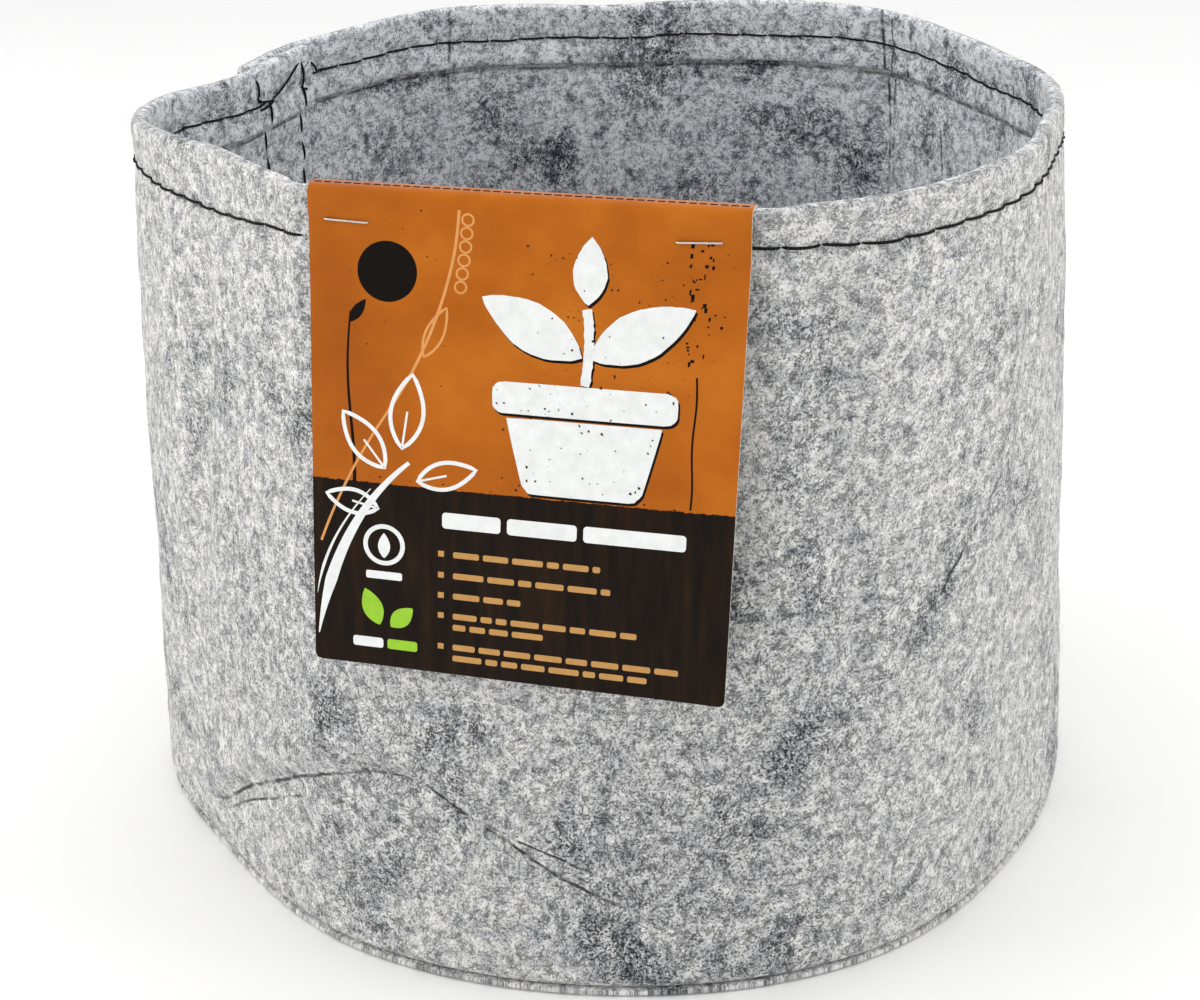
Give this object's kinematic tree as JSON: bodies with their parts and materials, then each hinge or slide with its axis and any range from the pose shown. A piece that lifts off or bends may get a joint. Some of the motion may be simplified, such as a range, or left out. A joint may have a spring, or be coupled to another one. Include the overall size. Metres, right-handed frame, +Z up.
{
  "type": "fabric grow bag",
  "caption": "Open round plant bag of thick grey felt with a sewn hem, side seam and base, and a folded header card stapled over the rim.",
  "frame": {"origin": "middle of the bag's box, on the surface that the base rests on", "axes": "+Z up through the open mouth, front with the header card towards -Y, +X to the right seen from the front"},
  "size_m": [0.317, 0.3152, 0.2458],
  "materials": {
    "felt": "matt needle-punched felt, heather grey",
    "thread": "black sewing thread",
    "card": "gloss-coated printed card, orange over dark brown",
    "staple_steel": "bright drawn wire"
  },
  "bodies": {
    "bag": {"side_wall": "felt", "base_disc": "felt", "hem_needle_thread": "thread", "hem_bobbin_thread": "thread", "base_seam_needle_thread": "thread", "base_seam_bobbin_thread": "thread", "side_seam_1_needle_thread": "thread", "side_seam_1_bobbin_thread": "thread", "side_seam_2_needle_thread": "thread", "side_seam_2_bobbin_thread": "thread", "seam_tack_needle_thread": "thread", "seam_tack_bobbin_thread": "thread", "header_card_saddle": "card", "staple_left": "staple_steel", "staple_right": "staple_steel"},
    "card_front": {"header_card_front_panel": "card"},
    "card_inner": {"header_card_inner_flap": "card"}
  },
  "joints": [
    {"name": "card_front_lift", "type": "hinge", "parent": "bag", "child": "card_front", "pos_m": [-0.0236, -0.13959, 0.22712], "axis": [-0.9759, 0.2181, 0], "range_deg": [0, 120]},
    {"name": "card_inner_lift", "type": "hinge", "parent": "bag", "child": "card_inner", "pos_m": [-0.02098, -0.1279, 0.22712], "axis": [0.9759, -0.2181, 0], "range_deg": [0, 110]}
  ]
}
